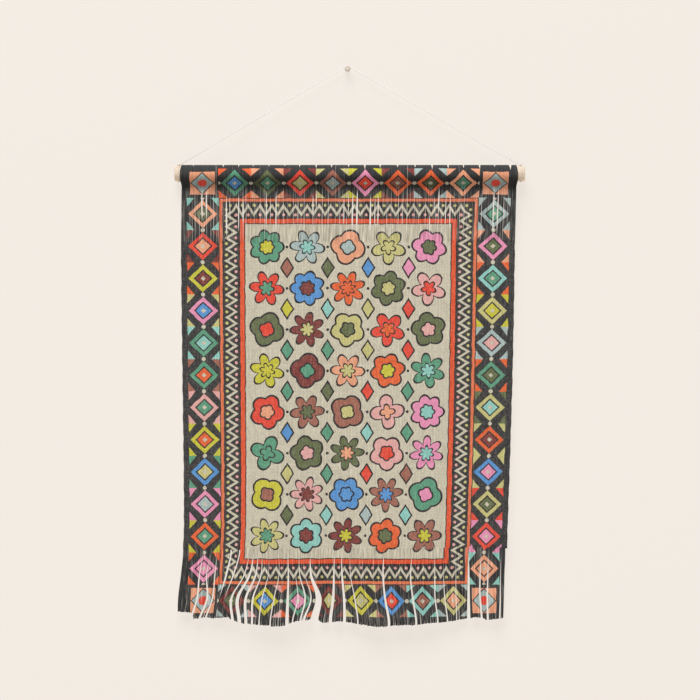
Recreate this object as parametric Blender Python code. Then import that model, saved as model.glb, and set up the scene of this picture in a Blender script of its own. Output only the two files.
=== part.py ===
"""A textile wall hanging on a wooden dowel, hung by a thin cord from a wooden wall peg.

Blender 4.5. +Z is up, +X is to the right as seen from the front, and the front faces -Y.
The origin is the centre of the peg's flat back face, in the plane of the wall.
Sizes below are in millimetres, and every mesh is scaled to metres as it is made.
"""

import math
from collections import namedtuple

import bmesh
import bpy
from mathutils import Matrix, Vector

METRES = 0.001
SHARP_ANGLE = math.radians(35)
CLEAR = 0.3  # between pieces that touch

# Dowel, on a level axis below the peg
DOWEL_RADIUS = 9.0
DOWEL_LEFT = -206.2
DOWEL_RIGHT = 211.6
DOWEL_CHAMFER = 1.2
DOWEL_SIDES = 32
AXIS_DEPTH = -12.0
AXIS_HEIGHT = -126.3

# Peg, a small turned spool: (distance from the wall, radius) from the wall outwards
PEG_PROFILE = (
    (0.0, 3.3),
    (1.6, 3.3),
    (2.4, 2.2),
    (8.6, 2.2),
    (9.6, 3.45),
    (12.2, 3.45),
    (13.2, 2.8),
    (13.5, 1.8),
    (12.9, 0.9),
)
PEG_HOLLOW = 12.7  # distance from the wall of the dimple's floor
PEG_SIDES = 20

# Cord: it leaves the left knot, passes over the peg's neck and ends at the right knot
CORD_RADIUS = 0.5
CORD_POINTS = 56
CORD_ROUTE = (
    (-200.4, -12.0, -114.0),
    (-160.0, -10.7, -90.3),
    (-110.0, -9.0, -61.1),
    (-60.0, -7.4, -31.8),
    (-20.0, -6.1, -8.4),
    (-6.0, -5.7, -0.1),
    (-1.5, -5.5, 2.6),
    (0.0, -5.5, 3.0),
    (1.5, -5.5, 2.6),
    (6.0, -5.7, 0.0),
    (20.0, -6.1, -7.9),
    (60.0, -7.4, -30.7),
    (110.0, -9.0, -59.2),
    (160.0, -10.6, -87.7),
    (206.2, -12.0, -114.0),
)

# Ties: the cord's turns round the rod, with a knot on top
TIE_LEFT = -201.5
TIE_RIGHT = 207.0
TIE_WIDTH = 2.2
TIE_THICK = 1.0
KNOT_RISE = 1.0
KNOT_SPREAD = 0.22  # radians
TIE_STEPS = 20

# Heading: bundles of warp over the rod, from the left edge to the right one
HEADING_LEFT = -199.4
LOOP_WIDTHS = (
    15.4, 35.9, 18.3, 17.3, 18.9, 18.7, 17.9, 19.7, 18.3, 20.3, 19.3,
    18.3, 20.8, 20.9, 20.3, 19.1, 18.4, 19.1, 18.0, 18.7, 8.8,
)
WRAP_THICK = 1.6
WRAP_STEPS = 12
WRAP_START = math.radians(41)  # where the wrap leaves the rod, from straight down
PINCH_HEIGHT = -138.6  # where the front and back of a bundle meet
ROOT_HEIGHT = -141.0
ROOT_THICK = 2.0
EDGE_PINCH_INSET = 1.4  # at the cloth's two side edges
NOTCH_INSET = 1.1
LAST_NOTCH_INSET = 1.8
NOTCH_START = 0.35  # share of the wrap's radius above the rod's axis
STRAND_PITCH = 3.05
STRAND_FILL = 0.82  # the share of its pitch that a strand takes
STRAND_THICK = 1.4
Station = namedtuple("Station", "outer inner rise")  # (depth, height) twice, and the share above
Side = namedtuple("Side", "across inwards notch pinch")

# Woven cloth
CLOTH_THICK = 1.6
TOP_HEIGHT_LEFT = -207.5
TOP_HEIGHT_RIGHT = -205.4
BOTTOM_HEIGHT_LEFT = -575.5
BOTTOM_HEIGHT_RIGHT = -573.7
PANEL_COLUMNS = 18
PANEL_ROWS = 18
Edge = namedtuple("Edge", "down left right")  # down: the share of the panel's height
EDGES = (
    Edge(0.00, -198.8, 200.0),
    Edge(0.20, -198.2, 198.9),
    Edge(0.45, -197.0, 197.0),
    Edge(0.70, -195.7, 194.2),
    Edge(0.90, -195.2, 191.6),
    Edge(1.00, -196.2, 190.6),
)
FOLD_GROWTH = 1.5  # power of the share of the height
Fold = namedtuple("Fold", "centre spread forward")  # forward at the panel's bottom edge
FOLDS = (
    Fold(-165.0, 28.0, -2.0),
    Fold(-87.0, 40.0, 4.5),
    Fold(-21.0, 28.0, -2.5),
    Fold(63.0, 45.0, 5.0),
    Fold(150.0, 35.0, -2.5),
)

# Fringe: strands hang in locks between the gaps, whose paths are given at four even heights
FRINGE_STRANDS = 160
STRIP_TALL = 2.6
FRINGE_REACH = 82.8  # from the strip to the tips that the table gives
STRAND_STEPS = 4
TIP_THICK = 1.0
LOCK_CURL = 1.4
OPENING_SHARES = (0.0, 0.3, 0.75, 1.0)  # of a gap's width, at the same four heights
Gap = namedtuple("Gap", "root upper lower tip open")
GAPS = (
    Gap(-196.2, -199.0, -202.4, -202.9, 0.0),
    Gap(-171.8, -177.3, -179.5, -186.9, 1.4),
    Gap(-163.5, -167.8, -167.2, -177.3, 1.8),
    Gap(-155.2, -158.0, -161.1, -170.1, 1.8),
    Gap(-138.1, -144.5, -152.8, -158.8, 1.4),
    Gap(-128.1, -136.1, -146.3, -149.8, 1.4),
    Gap(-117.0, -123.6, -138.7, -137.1, 3.0),
    Gap(-112.2, -117.4, -131.7, -129.3, 4.8),
    Gap(-106.9, -109.7, -121.6, -121.2, 3.6),
    Gap(-101.5, -103.1, -112.8, -113.8, 2.4),
    Gap(-93.0, -94.3, -101.5, -105.0, 1.4),
    Gap(-82.0, -82.4, -88.4, -92.9, 1.2),
    Gap(-70.6, -69.8, -70.1, -71.3, 3.0),
    Gap(-57.9, -57.0, -50.5, -56.5, 2.4),
    Gap(-44.5, -43.6, -34.4, -40.0, 9.6),
    Gap(-16.2, -16.8, -17.6, -21.1, 3.0),
    Gap(-7.8, -7.0, -4.7, -4.4, 3.6),
    Gap(3.0, 3.6, 8.7, 12.5, 1.8),
    Gap(44.2, 43.1, 45.4, 50.1, 3.0),
    Gap(77.0, 74.9, 77.6, 81.8, 2.4),
    Gap(104.5, 104.5, 104.7, 108.1, 1.8),
    Gap(129.9, 129.9, 130.0, 130.7, 1.2),
    Gap(145.1, 145.1, 145.1, 145.3, 3.6),
    Gap(159.6, 158.2, 158.2, 160.4, 2.4),
    Gap(169.0, 168.4, 167.8, 168.2, 2.2),
    Gap(188.5, 187.5, 186.9, 186.3, 0.0),
)
Tip = namedtuple("Tip", "across height")
TIPS = (
    Tip(-202.0, -649.5),
    Tip(-185.0, -653.5),
    Tip(-157.0, -659.1),
    Tip(-116.0, -662.7),
    Tip(-76.0, -667.4),
    Tip(-52.0, -660.8),
    Tip(-30.0, -660.4),
    Tip(44.0, -668.6),
    Tip(88.0, -666.0),
    Tip(138.0, -659.8),
    Tip(152.0, -662.1),
    Tip(186.0, -657.9),
)

MATERIALS = {
    "pale_wood": ((0.76, 0.58, 0.40), 0.55),
    "printed_cloth": ((0.52, 0.46, 0.35), 0.85),
    "printed_warp": ((0.10, 0.09, 0.10), 0.85),
    "cotton_cord": ((0.80, 0.76, 0.70), 0.80),
}


def clear_scene():
    for obj in list(bpy.data.objects):
        bpy.data.objects.remove(obj)


def material(name):
    found = bpy.data.materials.get(name)
    if found:
        return found
    colour, roughness = MATERIALS[name]
    made = bpy.data.materials.new(name)
    made.use_nodes = True
    shader = made.node_tree.nodes["Principled BSDF"]
    shader.inputs["Base Color"].default_value = (*colour, 1.0)
    shader.inputs["Roughness"].default_value = roughness
    shader.inputs["Metallic"].default_value = 0.0
    return made


def add_object(name, bm, material_name, place=(0.0, 0.0, 0.0), smooth=True):
    """Makes an object of a bmesh in millimetres, placed at a point in millimetres."""
    bmesh.ops.recalc_face_normals(bm, faces=bm.faces)
    bm.transform(Matrix.Scale(METRES, 4))
    mesh = bpy.data.meshes.new(name)
    bm.to_mesh(mesh)
    bm.free()
    mesh.materials.append(material(material_name))
    if smooth:
        mesh.shade_smooth()
        mesh.set_sharp_from_angle(angle=SHARP_ANGLE)
    obj = bpy.data.objects.new(name, mesh)
    obj.location = Vector(place) * METRES
    bpy.context.scene.collection.objects.link(obj)
    return obj


def mix(a, b, share):
    return a + (b - a) * share


def along(rows, key, value, at):
    """Reads a table's column between its rows, straight from row to row."""
    keys = [getattr(row, key) for row in rows]
    values = [getattr(row, value) for row in rows]
    if at <= keys[0]:
        return values[0]
    for k in range(1, len(rows)):
        if at <= keys[k]:
            share = (at - keys[k - 1]) / (keys[k] - keys[k - 1])
            return mix(values[k - 1], values[k], share)
    return values[-1]


def smooth_between(values, share):
    """A smooth curve through evenly spaced values, read at a share from 0 to 1."""
    spans = len(values) - 1
    place = min(max(share, 0.0), 1.0) * spans
    k = min(int(place), spans - 1)
    t = place - k
    before = values[max(k - 1, 0)]
    after = values[min(k + 2, spans)]
    a, b = values[k], values[k + 1]
    slope_a, slope_b = (b - before) / 2, (after - a) / 2
    return (
        a * (2 * t**3 - 3 * t**2 + 1)
        + slope_a * (t**3 - 2 * t**2 + t)
        + b * (3 * t**2 - 2 * t**3)
        + slope_b * (t**3 - t**2)
    )


def bridge(bm, first, second):
    """Joins two open rows of as many points."""
    for k in range(len(first) - 1):
        bm.faces.new((first[k], first[k + 1], second[k + 1], second[k]))


def ring_faces(bm, first, second):
    """Bridges two closed loops of as many points."""
    count = len(first)
    for k in range(count):
        after = (k + 1) % count
        bm.faces.new((first[k], first[after], second[after], second[k]))


def cloth_depth(across, height):
    """Where the middle of the cloth lies: plumb under the rod, with folds that grow downwards."""
    down = (TOP_HEIGHT_LEFT - height) / (TOP_HEIGHT_LEFT - BOTTOM_HEIGHT_LEFT)
    growth = max(down, 0.0) ** FOLD_GROWTH
    forward = sum(
        fold.forward * math.exp(-(((across - fold.centre) / fold.spread) ** 2))
        for fold in FOLDS
    )
    return AXIS_DEPTH - growth * forward


def make_peg():
    """A spool turned about Y, with a dimple in its face."""
    bm = bmesh.new()
    rings = []
    for distance, radius in PEG_PROFILE:
        ring = []
        for k in range(PEG_SIDES):
            turn = 2 * math.pi * k / PEG_SIDES
            ring.append(
                bm.verts.new((radius * math.cos(turn), -distance, radius * math.sin(turn)))
            )
        rings.append(ring)
    for first, second in zip(rings, rings[1:]):
        ring_faces(bm, first, second)
    bm.faces.new(rings[0])
    floor = bm.verts.new((0.0, -PEG_HOLLOW, 0.0))
    for k in range(PEG_SIDES):
        bm.faces.new((rings[-1][k], rings[-1][(k + 1) % PEG_SIDES], floor))
    add_object("peg", bm, "pale_wood")


def make_dowel():
    bm = bmesh.new()
    half = (DOWEL_RIGHT - DOWEL_LEFT) / 2
    bmesh.ops.create_cone(
        bm,
        cap_ends=True,
        segments=DOWEL_SIDES,
        radius1=DOWEL_RADIUS,
        radius2=DOWEL_RADIUS,
        depth=2 * half,
        matrix=Matrix.Rotation(math.pi / 2, 4, "Y"),
    )
    rims = [
        edge
        for edge in bm.edges
        if abs(edge.verts[0].co.x - edge.verts[1].co.x) < half
    ]
    bmesh.ops.bevel(bm, geom=rims, offset=DOWEL_CHAMFER, segments=1, affect="EDGES")
    middle = (DOWEL_LEFT + DOWEL_RIGHT) / 2
    add_object("dowel", bm, "pale_wood", (middle, AXIS_DEPTH, AXIS_HEIGHT))


def make_tie(name, across):
    """Two turns of cord as one band round the rod, which rises to a knot on top."""
    bm = bmesh.new()
    inner = DOWEL_RADIUS + CLEAR
    half = TIE_WIDTH / 2
    rings = []
    for k in range(TIE_STEPS):
        turn = 2 * math.pi * k / TIE_STEPS
        from_top = math.remainder(turn - math.pi / 2, 2 * math.pi)
        rise = KNOT_RISE * math.exp(-((from_top / KNOT_SPREAD) ** 2))
        outer = inner + TIE_THICK + rise
        section = (
            (-half, inner + TIE_THICK / 3),
            (-half / 2, inner),
            (half / 2, inner),
            (half, inner + TIE_THICK / 3),
            (half / 2, outer),
            (-half / 2, outer),
        )
        rings.append(
            [
                bm.verts.new((x, radius * math.cos(turn), radius * math.sin(turn)))
                for x, radius in section
            ]
        )
    for k in range(TIE_STEPS):
        ring_faces(bm, rings[k], rings[(k + 1) % TIE_STEPS])
    add_object(name, bm, "cotton_cord", (across, AXIS_DEPTH, AXIS_HEIGHT))


def make_cord():
    curve = bpy.data.curves.new("cord", "CURVE")
    curve.dimensions = "3D"
    curve.bevel_depth = CORD_RADIUS * METRES
    curve.bevel_resolution = 2
    curve.use_fill_caps = True
    spline = curve.splines.new("POLY")
    spline.points.add(CORD_POINTS - 1)
    for k, point in enumerate(spline.points):
        point.co = (*(cord_point(k / (CORD_POINTS - 1)) * METRES), 1.0)
    curve.materials.append(material("cotton_cord"))
    bpy.context.scene.collection.objects.link(bpy.data.objects.new("cord", curve))


def cord_point(share):
    return Vector([smooth_between([p[axis] for p in CORD_ROUTE], share) for axis in range(3)])


def wrap_stations():
    """The band's section round the rod, from the front of the root over the rod to the root's back."""
    inner_radius = DOWEL_RADIUS + CLEAR
    outer_radius = inner_radius + WRAP_THICK
    pinch = (AXIS_DEPTH, PINCH_HEIGHT)
    stations = [Station((AXIS_DEPTH - ROOT_THICK / 2, ROOT_HEIGHT), pinch, -1.0)]
    for k in range(WRAP_STEPS + 1):
        turn = mix(WRAP_START, 2 * math.pi - WRAP_START, k / WRAP_STEPS)
        forward, up = math.sin(turn), -math.cos(turn)
        outer = (AXIS_DEPTH - outer_radius * forward, AXIS_HEIGHT + outer_radius * up)
        inner = (AXIS_DEPTH - inner_radius * forward, AXIS_HEIGHT + inner_radius * up)
        stations.append(Station(outer, inner, up))
    stations.append(Station((AXIS_DEPTH + ROOT_THICK / 2, ROOT_HEIGHT), pinch, -1.0))
    return stations


def inset(side, rise):
    """How far a bundle stands in from its boundary: at the V-shaped notch on the rod, and at the pinch."""
    if rise == -1.0:
        return side.pinch
    above = max(rise - NOTCH_START, 0.0) / (1.0 - NOTCH_START)
    return CLEAR / 2 + side.notch * above


def side_points(bm, side):
    """The outer and inner points along one side of a bundle. The two ends share the pinch's point."""
    outer, inner = [], []
    for station in wrap_stations():
        x = side.across + side.inwards * inset(side, station.rise)
        outer.append(bm.verts.new((x, *station.outer)))
        inner.append(inner[0] if len(inner) > WRAP_STEPS + 1 else bm.verts.new((x, *station.inner)))
    return outer, inner


def make_loop(name, left, right):
    """A bundle of warp: a band round the rod, pinched under it, with strands down to the weave."""
    bm = bmesh.new()
    sides = [side_points(bm, left), side_points(bm, right)]
    for outer, inner in sides:
        for k in range(len(outer) - 1):
            bm.faces.new((outer[k], outer[k + 1], inner[k + 1], inner[k]))
        bm.faces.new((outer[0], inner[0], outer[-1]))
    (outer_left, inner_left), (outer_right, inner_right) = sides
    bridge(bm, inner_left, inner_right)
    bridge(bm, outer_left[1:-1], outer_right[1:-1])
    width = right.across - left.across
    count = round(width / STRAND_PITCH)
    front = root_row(bm, outer_left[0], outer_right[0], count)
    back = root_row(bm, outer_left[-1], outer_right[-1], count)
    fan(bm, outer_left[1], outer_right[1], front)
    fan(bm, outer_left[-2], outer_right[-2], back)
    for k in range(count):
        top = (front[k], front[k + 1], back[k + 1], back[k])
        add_top_strand(bm, top, left.across + width * (k + 0.5) / count, width / count)
    add_object(name, bm, "printed_warp", smooth=False)


def root_row(bm, first, last, count):
    """The points from one corner to the other where strands start side by side."""
    between = [bm.verts.new(first.co.lerp(last.co, k / count)) for k in range(1, count)]
    return [first, *between, last]


def fan(bm, left, right, row):
    """Joins the two points above a row of points to it."""
    for a, b in zip(row, row[1:]):
        bm.faces.new((left, a, b))
    bm.faces.new((left, row[-1], right))


def across_at_weave(across):
    """Where a strand that leaves the rod at this place meets the weave's top edge."""
    heading_right = HEADING_LEFT + sum(LOOP_WIDTHS)
    share = (across - HEADING_LEFT) / (heading_right - HEADING_LEFT)
    return mix(EDGES[0].left, EDGES[0].right, share)


def top_edge(across):
    """The height of the weave's top edge, which isn't quite level."""
    share = (across - EDGES[0].left) / (EDGES[0].right - EDGES[0].left)
    return mix(TOP_HEIGHT_LEFT, TOP_HEIGHT_RIGHT, share)


def add_top_strand(bm, top, across, pitch):
    middle = across_at_weave(across)
    half = pitch * STRAND_FILL / 2
    height = top_edge(middle) + CLEAR
    depth = cloth_depth(middle, height)
    end = [
        bm.verts.new((middle + x * half, depth + y * STRAND_THICK / 2, height))
        for x, y in ((-1, -1), (1, -1), (1, 1), (-1, 1))
    ]
    ring_faces(bm, top, end)
    bm.faces.new(end)


def make_heading():
    across = HEADING_LEFT
    last = len(LOOP_WIDTHS) - 1
    for k, width in enumerate(LOOP_WIDTHS):
        left = Side(
            across,
            1,
            LAST_NOTCH_INSET if k == last else NOTCH_INSET,
            EDGE_PINCH_INSET if k == 0 else CLEAR / 2,
        )
        across += width
        right = Side(
            across,
            -1,
            LAST_NOTCH_INSET if k >= last - 1 else NOTCH_INSET,
            EDGE_PINCH_INSET if k == last else CLEAR / 2,
        )
        make_loop(f"loop_{k + 1:02d}", left, right)


def panel_point(across_share, down_share):
    left = along(EDGES, "down", "left", down_share)
    right = along(EDGES, "down", "right", down_share)
    across = mix(left, right, across_share)
    top = mix(TOP_HEIGHT_LEFT, TOP_HEIGHT_RIGHT, across_share)
    bottom = mix(BOTTOM_HEIGHT_LEFT, BOTTOM_HEIGHT_RIGHT, across_share)
    height = mix(top, bottom, down_share)
    return across, cloth_depth(across, height), height


def make_panel():
    """The woven cloth, a closed sheet with the outline and folds in which it hangs."""
    bm = bmesh.new()
    layers = []
    for side in (-1, 1):
        grid = []
        for row in range(PANEL_ROWS + 1):
            line = []
            for column in range(PANEL_COLUMNS + 1):
                x, y, z = panel_point(column / PANEL_COLUMNS, row / PANEL_ROWS)
                line.append(bm.verts.new((x, y + side * CLOTH_THICK / 2, z)))
            grid.append(line)
        layers.append(grid)
        for above, below in zip(grid, grid[1:]):
            bridge(bm, above, below)
    rims = []
    for grid in layers:
        right = [line[-1] for line in grid[1:-1]]
        left = [line[0] for line in grid[1:-1]]
        rims.append(grid[0] + right + grid[-1][::-1] + left[::-1])
    ring_faces(bm, rims[0], rims[1])
    add_object("panel", bm, "printed_cloth")


def fringe_place(root, height):
    """Where a strand with this root is at a height, and how much its pitch has changed."""
    down = (fringe_top(root) - height) / FRINGE_REACH
    k = next((n for n in range(1, len(GAPS)) if root <= GAPS[n].root), len(GAPS) - 1)
    left, right = GAPS[k - 1], GAPS[k]
    opened = smooth_between(OPENING_SHARES, down)
    lock_left = smooth_between(left[:4], down) + left.open * opened / 2
    lock_right = smooth_between(right[:4], down) - right.open * opened / 2
    share = (root - left.root) / (right.root - left.root)
    squeeze = (lock_right - lock_left) / (right.root - left.root)
    return mix(lock_left, lock_right, share), squeeze, k


def fringe_top(across):
    """The height of the strip's lower edge, from which the strands hang."""
    share = (across - GAPS[0].root) / (GAPS[-1].root - GAPS[0].root)
    bottom = mix(BOTTOM_HEIGHT_LEFT, BOTTOM_HEIGHT_RIGHT, share)
    return bottom - CLEAR - STRIP_TALL


def make_fringe():
    """A strip along the weave's lower edge, and the strands that hang from it."""
    bm = bmesh.new()
    first, last = GAPS[0].root, GAPS[-1].root
    pitch = (last - first) / FRINGE_STRANDS
    rows = []
    for side, lift in ((-1, STRIP_TALL), (1, STRIP_TALL), (1, 0.0), (-1, 0.0)):
        row = []
        for k in range(FRINGE_STRANDS + 1):
            x = first + k * pitch
            z = fringe_top(x) + lift
            row.append(bm.verts.new((x, cloth_depth(x, z) + side * CLOTH_THICK / 2, z)))
        rows.append(row)
    for a, b in ((rows[0], rows[1]), (rows[1], rows[2]), (rows[3], rows[0])):
        bridge(bm, a, b)
    for k in (0, -1):
        bm.faces.new([row[k] for row in rows])
    for k in range(FRINGE_STRANDS):
        top = (rows[3][k], rows[3][k + 1], rows[2][k + 1], rows[2][k])
        add_fringe_strand(bm, top, first + (k + 0.5) * pitch, pitch)
    add_object("fringe", bm, "printed_warp", smooth=False)


def add_fringe_strand(bm, top, root, pitch):
    start = fringe_top(root)
    reach, _, _ = fringe_place(root, start - FRINGE_REACH)
    tip = along(TIPS, "across", "height", reach)
    above = top
    for step in range(1, STRAND_STEPS + 1):
        share = step / STRAND_STEPS
        height = mix(start, tip, share)
        x, squeeze, lock = fringe_place(root, height)
        half = pitch * STRAND_FILL * squeeze / 2
        curl = LOCK_CURL * share**2 * (1 if lock % 2 else -1)
        y = cloth_depth(x, height) + curl
        thick = mix(STRAND_THICK, TIP_THICK, share) / 2
        ring = [
            bm.verts.new((x + a * half, y + b * thick, height))
            for a, b in ((-1, -1), (1, -1), (1, 1), (-1, 1))
        ]
        ring_faces(bm, above, ring)
        above = ring
    bm.faces.new(above)


def main():
    clear_scene()
    make_peg()
    make_dowel()
    make_tie("tie_left", TIE_LEFT)
    make_tie("tie_right", TIE_RIGHT)
    make_cord()
    make_heading()
    make_panel()
    make_fringe()


main()
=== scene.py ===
"""The looks of a textile wall hanging: a printed cloth whose loose warp goes over a wooden dowel.

Sizes are in millimetres, as in the solids, and every mesh is scaled to metres as it is made.
+X is to the right as seen from the front, the front faces -Y, and the wall lies at y = 0.
"""

import math
import random
from collections import namedtuple
from functools import partialmethod

import bpy
import numpy as np
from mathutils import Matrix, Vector


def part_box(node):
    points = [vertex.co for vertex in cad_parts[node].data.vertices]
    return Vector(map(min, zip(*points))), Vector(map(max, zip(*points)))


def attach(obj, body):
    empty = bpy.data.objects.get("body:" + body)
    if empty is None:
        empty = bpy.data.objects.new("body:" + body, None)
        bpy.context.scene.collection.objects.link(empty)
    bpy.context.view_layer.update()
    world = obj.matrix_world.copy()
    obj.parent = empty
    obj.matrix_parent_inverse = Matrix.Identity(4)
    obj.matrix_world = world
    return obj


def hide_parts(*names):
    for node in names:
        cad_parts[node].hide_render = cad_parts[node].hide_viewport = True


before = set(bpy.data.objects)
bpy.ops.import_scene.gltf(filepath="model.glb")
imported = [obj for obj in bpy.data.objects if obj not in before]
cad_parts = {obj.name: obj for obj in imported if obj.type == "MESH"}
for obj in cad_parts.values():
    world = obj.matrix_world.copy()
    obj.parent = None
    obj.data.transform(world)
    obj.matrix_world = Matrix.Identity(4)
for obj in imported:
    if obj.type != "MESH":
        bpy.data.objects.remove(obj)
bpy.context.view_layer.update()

METRES = 0.001
BODY = "root"
SEED = 7

# Dowel, from the frame
DOWEL_LOW, DOWEL_HIGH = (np.array(corner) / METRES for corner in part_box("dowel"))
DOWEL_RADIUS = (DOWEL_HIGH[2] - DOWEL_LOW[2]) / 2
AXIS_DEPTH = (DOWEL_HIGH[1] + DOWEL_LOW[1]) / 2
AXIS_HEIGHT = (DOWEL_HIGH[2] + DOWEL_LOW[2]) / 2
DOWEL_ROUNDING = 1.4
ROUNDING_ANGLES = (90, 67, 45, 22, 0)
DOWEL_SIDES = 72
DOWEL_STEPS = 60

# Peg, a small turned spool: (distance from the wall, radius) from the wall outwards
PEG_PROFILE = (
    (0, 0), (0, 3.1), (0.3, 3.3), (1.3, 3.3), (1.8, 3), (2.3, 2.35), (3.2, 2.2),
    (7.8, 2.2), (8.7, 2.4), (9.3, 3.15), (9.9, 3.45), (11.8, 3.45), (12.7, 3.2), (13.2, 2.7),
    (13.5, 1.8), (13.3, 1.3), (12.9, 0.8), (12.75, 0),
)
PEG_SIDES = 48
SHARP_FROM = math.radians(50)  # edges of the wood that are steeper stay sharp

# Cord: it leaves the left knot, passes over the peg's neck and ends at the right knot
CORD_RADIUS = 0.5
CORD_PATH_POINTS = 900
CORD_TWIST = 3.4  # length of one turn of the plies
CORD_PLIES = 3
CORD_GROOVE = 0.16  # depth between the plies, as a share of the radius
CORD_SIDES = 9
CORD_ROUTE = (
    (-201, -12, -116), (-160, -10.7, -91.6), (-110, -9, -61.9), (-60, -7.4, -32.2),
    (-20, -6.1, -8.4), (-6, -5.7, -0.1), (-1.5, -5.5, 2.6), (0, -5.5, 3), (1.5, -5.5, 2.6),
    (6, -5.7, -0.1), (20, -6.1, -8.2), (60, -7.4, -31.4), (110, -9, -60.4),
    (160, -10.6, -89.3), (206, -12, -116),
)

# Ties: two turns of the cord round the rod and a knot on top
TIE_LEFT = -201.5
TIE_RIGHT = 207.0
TIE_PITCH = 1.05
TIE_TURNS = 2
TIE_POINTS = 260
TIE_CLEAR = 0.15  # between the rod and the turns
KNOT_LIFT = 0.95  # of its middle above the turns
KNOT_SIZE = 0.465  # a third of its reach
KNOT_SWEEP = 0.97  # share of the closed knot that the cord makes
KNOT_POINTS = 90

# Heading: bundles of warp over the rod, from the left edge to the right one
HEADING_LEFT = -199.4
LOOP_WIDTHS = (
    15.4, 35.9, 18.3, 17.3, 18.9, 18.7, 17.9, 19.7, 18.3, 20.3, 19.3,
    18.3, 20.8, 20.9, 20.3, 19.1, 18.4, 19.1, 18.0, 18.7, 8.8,
)
WRAP_RADIUS = DOWEL_RADIUS + 1.1
WRAP_STEPS = 20
WRAP_START = math.radians(41)  # where the warp leaves the rod, from straight down
ROOT_HEIGHT = -141.0
EDGE_PINCH_INSET = 1.4
BACK_INSET = 0.9  # how far behind the axis the warp ends at the pinch
HANG_STEPS = 14
LEAN = 0.25  # how far single threads bow out, at most

# Notches between the bundles on top of the rod, with the two outer edges first and last.
# inset: how far each side draws back. start: share of the wrap's radius above the rod's axis
Notch = namedtuple("Notch", "inset start")
NOTCHES = [Notch(*row) for row in (
    (1.5, 0.35), (0.8, 0.80), (1, 0.66), (1, 0.66), (0.8, 0.80), (0.8, 0.78), (0.8, 0.80),
    (1, 0.68), (1.15, 0.56), (1.15, 0.60), (1.1, 0.64), (1.25, 0.28), (1.15, 0.46), (1.1, 0.62),
    (1.1, 0.57), (1.2, 0.34), (1.2, 0.38), (1.15, 0.50), (1.2, 0.40), (1, 0.68), (1.9, 0.35),
    (1.9, 0.08),
)]

# Warp threads
THREAD_PITCH = 1.75
THREAD_SIDES = 8
THREAD_THICK = 1.3
WRAP_FILL = 1.22  # width of a thread on the rod, as a share of its pitch
HANG_FILL = 1.0
FRINGE_FILL = 1.12
TWIST_SPREAD = 0.3  # how much threads differ in which way their printed side turns
PALE_FROM = math.radians(74)  # round a thread from its front: the print ends here
PALE_TO = math.radians(120)
BARE_WITHIN = math.radians(50)  # how far past the top of the rod the print fades out
SIDE_SHADE = 0.6  # how much darker a thread's sides are, where the next threads keep the light off
PALE_KEEPS = 0.95  # how much less pale colours darken, because pale threads light each other
DIM_SHADE = 0.5  # painted shade: how much darker the warp under the rod is
DIM_REACH = 9.0  # how far down from the pinch the painted shade reaches
DIM_UNTIL = math.radians(95)  # how far up round the rod the painted shade reaches
TOP_PAINTED_LIGHT = 0.42  # painted light: how much lighter the warp is above that, as a share of the same painted shade

# Woven cloth
CLOTH_THICK = 1.6
TOP_LEFT = -207.5  # heights of its four corners
TOP_RIGHT = -205.4
BOTTOM_LEFT = -575.5
BOTTOM_RIGHT = -573.7
PANEL_COLUMNS = 228
PANEL_ROWS = 210
WEAVE_RELIEF = 0.13
CROSSING_SPARES = 1.6  # how much the crossings differ in how little ink they took
CROSSING_TONES = 0.14  # how much they differ in tone
CROSSING_SHADE = 0.42  # how much lighter the warp is than the weft at the crossings
WARP_SHADE = 0.18  # how much lighter every other warp thread is
SELVEDGE_WANDER = 0.35
SELVEDGE_WAVES = (61, 137)
TUCK = 4.5  # how far loose warp runs on into the weave
EDGE_THICK = 0.7  # of the weave at its first and last rows, where loose warp still shows on it
EDGE_RAMP = 4.0
Edge = namedtuple("Edge", "down left right")  # down: the share of the panel's height
EDGES = (
    Edge(0.00, -198.8, 200.0),
    Edge(0.20, -198.2, 198.9),
    Edge(0.45, -197.0, 197.0),
    Edge(0.70, -195.7, 194.2),
    Edge(0.90, -195.2, 191.6),
    Edge(1.00, -196.2, 190.6),
)
FOLD_GROWTH = 1.5
Fold = namedtuple("Fold", "centre spread forward")
FOLDS = (
    Fold(-165.0, 28.0, -2.0),
    Fold(-87.0, 40.0, 4.5),
    Fold(-21.0, 28.0, -2.5),
    Fold(63.0, 45.0, 5.0),
    Fold(150.0, 35.0, -2.5),
)
Crease = namedtuple("Crease", "height slope left right deep spread")
CREASES = (
    Crease(-353.0, 0.004, -170.0, 150.0, 0.45, 2.2),
    Crease(-472.0, -0.006, -120.0, 185.0, 0.5, 2.4),
    Crease(-545.0, 0.003, -190.0, 90.0, 0.35, 2.0),
)
CREASE_FADE = 40.0

# Partings between the warp threads of the heading, seen as thin light lines
Parting = namedtuple("Parting", "across top bottom width")
PARTINGS = [Parting(*row) for row in (
    (-174.1, -146, -180, 1.9), (-168.8, -146, -178, 1.5), (-145.1, -154, -201, 2.2),
    (-140.3, -153, -186, 1.3), (-130.1, -150, -196, 1.5), (-125.2, -158, -184, 1.4),
    (-96.5, -146, -195, 1.3), (-92.2, -152, -194, 0.9), (-84.8, -149, -196, 1.5),
    (-59.1, -153, -190, 0.9), (-41.5, -153, -176, 1.1), (-36.8, -146, -170, 0.9),
    (-3.9, -153, -188, 1.1), (1.3, -152, -180, 1.1), (6.6, -149, -197, 1.9),
    (11.1, -146, -196, 1.9), (27.7, -154, -198, 2), (32.3, -155, -191, 1.6),
    (36.1, -153, -191, 1.3), (97.9, -176, -198, 0.9), (103.2, -153, -176, 1),
    (108.4, -145, -172, 1.3), (117.9, -153, -192, 1.3), (122.2, -153, -192, 1.3),
    (174.6, -145, -197, 1.5), (178.7, -145, -197, 1.5),
)]
PARTING_REACH = 3.0

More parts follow.
